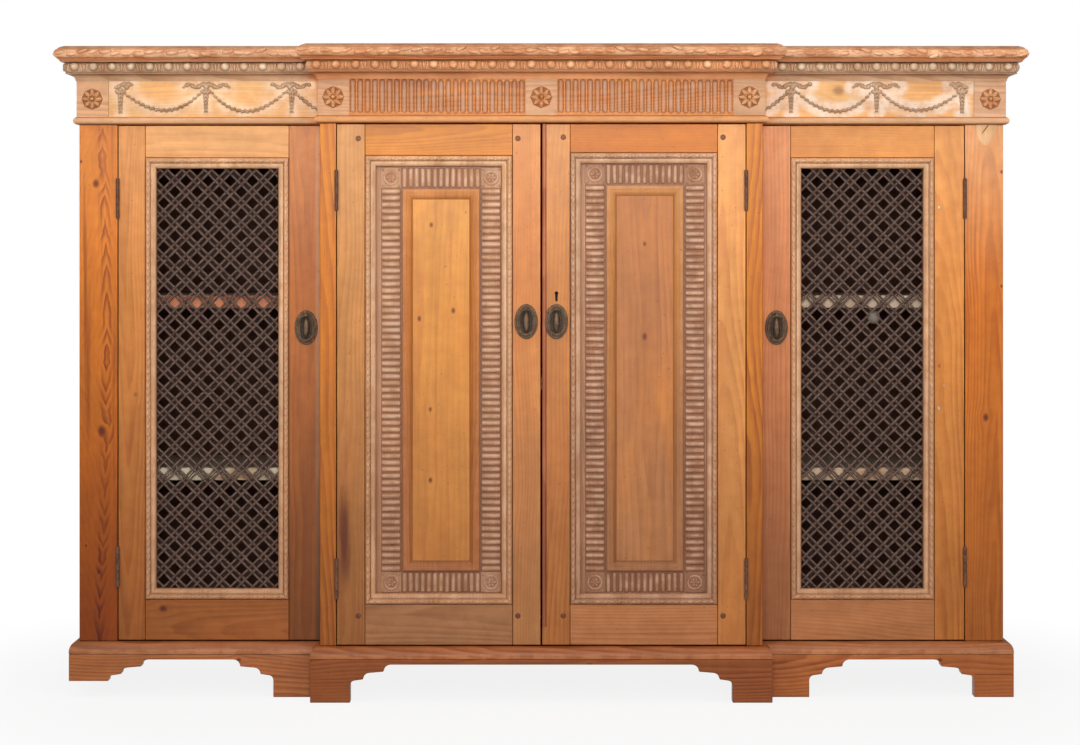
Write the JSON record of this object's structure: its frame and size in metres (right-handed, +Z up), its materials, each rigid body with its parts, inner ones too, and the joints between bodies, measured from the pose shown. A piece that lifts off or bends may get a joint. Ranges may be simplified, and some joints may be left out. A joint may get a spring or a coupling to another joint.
{
  "type": "breakfront side cabinet",
  "caption": "Breakfront pine side cabinet with lattice-grilled wing doors, fluted centre doors, carved frieze and cornice, ring pulls and bracket feet; the doors, pulls and lock bolt move.",
  "frame": {"origin": "on the floor, under the middle of the cabinet's bounding box", "axes": "+X along the front to the right of a person facing it, +Y from the front to the back, +Z up"},
  "size_m": [1.8212, 0.462, 1.2197],
  "materials": {
    "pine": "old waxed pine, satin",
    "red_pine": "old waxed pine with red heartwood streaks, satin",
    "dark_pine": "darkened and worn pine, satin",
    "bleached_pine": "stripped pale pine with traces of old ground in the carving",
    "carved_pine": "carved pine with grey residue in the hollows",
    "shelf_pine": "plain dry pine",
    "dull_brass": "dull brown patina"
  },
  "bodies": {
    "case": {"left_end_panel": "pine", "right_end_panel": "pine", "left_partition": "pine", "right_partition": "pine", "bottom_board": "pine", "top_board": "pine", "back_boards": "pine", "left_end_stile": "red_pine", "right_end_stile": "red_pine", "left_centre_stile": "red_pine", "right_centre_stile": "red_pine", "left_frieze": "bleached_pine", "centre_frieze": "bleached_pine", "right_frieze": "bleached_pine", "left_end_frieze": "bleached_pine", "right_end_frieze": "bleached_pine", "cornice_moulding": "red_pine", "bed_moulding": "pine", "astragal_moulding": "pine", "left_plinth_front": "dark_pine", "centre_plinth_front": "dark_pine", "right_plinth_front": "dark_pine", "left_plinth_side": "dark_pine", "right_plinth_side": "dark_pine", "plinth_moulding": "dark_pine", "left_upper_shelf": "shelf_pine", "right_upper_shelf": "shelf_pine", "left_lower_shelf": "shelf_pine", "right_lower_shelf": "shelf_pine", "centre_shelf": "shelf_pine", "left_wing_upper_hinge": "dull_brass", "left_wing_lower_hinge": "dull_brass", "centre_left_upper_hinge": "dull_brass", "centre_left_lower_hinge": "dull_brass", "centre_right_upper_hinge": "dull_brass", "centre_right_lower_hinge": "dull_brass", "right_wing_upper_hinge": "dull_brass", "right_wing_lower_hinge": "dull_brass"},
    "left_wing_door": {"left_wing_door_frame": "pine", "left_wing_opening_moulding": "carved_pine", "left_wing_grille": "dull_brass", "left_wing_pull_plate": "dull_brass"},
    "right_wing_door": {"right_wing_door_frame": "pine", "right_wing_opening_moulding": "carved_pine", "right_wing_grille": "dull_brass", "right_wing_pull_plate": "dull_brass"},
    "centre_left_door": {"centre_left_door_frame": "pine", "centre_left_opening_moulding": "carved_pine", "centre_left_panel": "carved_pine", "centre_left_pull_plate": "dull_brass"},
    "centre_right_door": {"centre_right_door_frame": "pine", "centre_right_opening_moulding": "carved_pine", "centre_right_panel": "carved_pine", "centre_right_pull_plate": "dull_brass", "lock_case": "dull_brass"},
    "left_wing_ring": {"left_wing_pull_ring": "dull_brass"},
    "centre_left_ring": {"centre_left_pull_ring": "dull_brass"},
    "centre_right_ring": {"centre_right_pull_ring": "dull_brass"},
    "right_wing_ring": {"right_wing_pull_ring": "dull_brass"},
    "lock_bolt": {"lock_bolt": "dull_brass"}
  },
  "joints": [
    {"name": "left_wing_door_hinge", "type": "hinge", "parent": "case", "child": "left_wing_door", "pos_m": [-0.796, -0.133, 0.1047], "axis": [0, 0, -1], "range_deg": [0, 110]},
    {"name": "centre_left_door_hinge", "type": "hinge", "parent": "case", "child": "centre_left_door", "pos_m": [-0.3802, -0.193, 0.1047], "axis": [0, 0, -1], "range_deg": [0, 110]},
    {"name": "centre_right_door_hinge", "type": "hinge", "parent": "case", "child": "centre_right_door", "pos_m": [0.3802, -0.193, 0.1047], "axis": [0, 0, 1], "range_deg": [0, 110]},
    {"name": "right_wing_door_hinge", "type": "hinge", "parent": "case", "child": "right_wing_door", "pos_m": [0.796, -0.133, 0.1047], "axis": [0, 0, 1], "range_deg": [0, 110]},
    {"name": "left_wing_ring_swing", "type": "hinge", "parent": "left_wing_door", "child": "left_wing_ring", "pos_m": [-0.442, -0.1368, 0.7155], "axis": [-1, 0, 0], "range_deg": [0, 90]},
    {"name": "centre_left_ring_swing", "type": "hinge", "parent": "centre_left_door", "child": "centre_left_ring", "pos_m": [-0.028, -0.1968, 0.7285], "axis": [-1, 0, 0], "range_deg": [0, 90]},
    {"name": "centre_right_ring_swing", "type": "hinge", "parent": "centre_right_door", "child": "centre_right_ring", "pos_m": [0.028, -0.1968, 0.7285], "axis": [-1, 0, 0], "range_deg": [0, 90]},
    {"name": "right_wing_ring_swing", "type": "hinge", "parent": "right_wing_door", "child": "right_wing_ring", "pos_m": [0.442, -0.1368, 0.7155], "axis": [-1, 0, 0], "range_deg": [0, 90]},
    {"name": "lock_bolt_slide", "type": "slide", "parent": "centre_right_door", "child": "lock_bolt", "axis": [-1, 0, 0], "range_m": [0, 0.009]}
  ]
}
